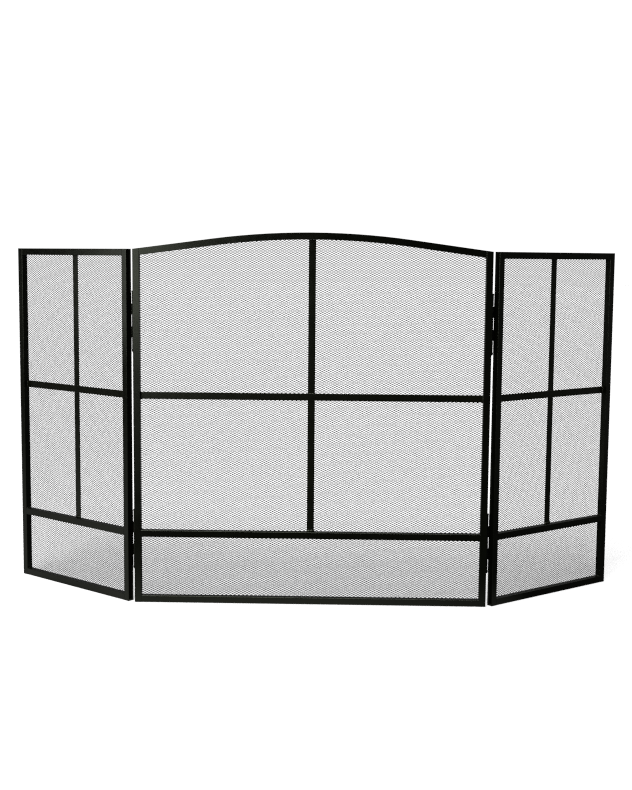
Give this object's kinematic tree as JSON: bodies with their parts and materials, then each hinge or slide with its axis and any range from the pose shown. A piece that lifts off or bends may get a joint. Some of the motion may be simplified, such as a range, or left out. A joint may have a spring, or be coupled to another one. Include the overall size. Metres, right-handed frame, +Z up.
{
  "type": "fireplace screen",
  "caption": "Free-standing folding fireplace screen with an arched centre panel and hinged side panels, square tube frames, flat bars and diamond mesh.",
  "frame": {"origin": "middle of the underside of the centre panel's bottom rail, on the floor", "axes": "+Z up, +X to the right seen from the front, +Y to the back, so the front faces -Y"},
  "size_m": [1.2166, 0.2169, 0.7131],
  "materials": {
    "frame": "satin",
    "mesh": "satin",
    "hinge": "gloss"
  },
  "bodies": {
    "centre_panel": {"centre_stile_left": "frame", "centre_stile_right": "frame", "centre_arch_rail": "frame", "centre_lower_rail": "frame", "centre_bottom_rail": "frame", "centre_cross_bar": "frame", "centre_upright_bar": "frame", "centre_mesh": "mesh", "left_upper_hinge_fixed_leaf": "hinge", "left_upper_hinge_pin": "hinge", "left_lower_hinge_fixed_leaf": "hinge", "left_lower_hinge_pin": "hinge", "right_upper_hinge_fixed_leaf": "hinge", "right_upper_hinge_pin": "hinge", "right_lower_hinge_fixed_leaf": "hinge", "right_lower_hinge_pin": "hinge"},
    "left_panel": {"left_hinge_stile": "frame", "left_outer_stile": "frame", "left_top_rail": "frame", "left_lower_rail": "frame", "left_bottom_rail": "frame", "left_cross_bar": "frame", "left_upright_bar": "frame", "left_mesh": "mesh", "left_upper_hinge_swing_leaf": "hinge", "left_lower_hinge_swing_leaf": "hinge"},
    "right_panel": {"right_hinge_stile": "frame", "right_outer_stile": "frame", "right_top_rail": "frame", "right_lower_rail": "frame", "right_bottom_rail": "frame", "right_cross_bar": "frame", "right_upright_bar": "frame", "right_mesh": "mesh", "right_upper_hinge_swing_leaf": "hinge", "right_lower_hinge_swing_leaf": "hinge"}
  },
  "joints": [
    {"name": "left_fold", "type": "hinge", "parent": "centre_panel", "child": "left_panel", "pos_m": [-0.3395, 0.011, 0.34], "axis": [0, 0, -1], "range_deg": [-38.2, 141.8]},
    {"name": "right_fold", "type": "hinge", "parent": "centre_panel", "child": "right_panel", "pos_m": [0.3395, 0.011, 0.34], "axis": [0, 0, 1], "range_deg": [-38.2, 141.8]}
  ]
}
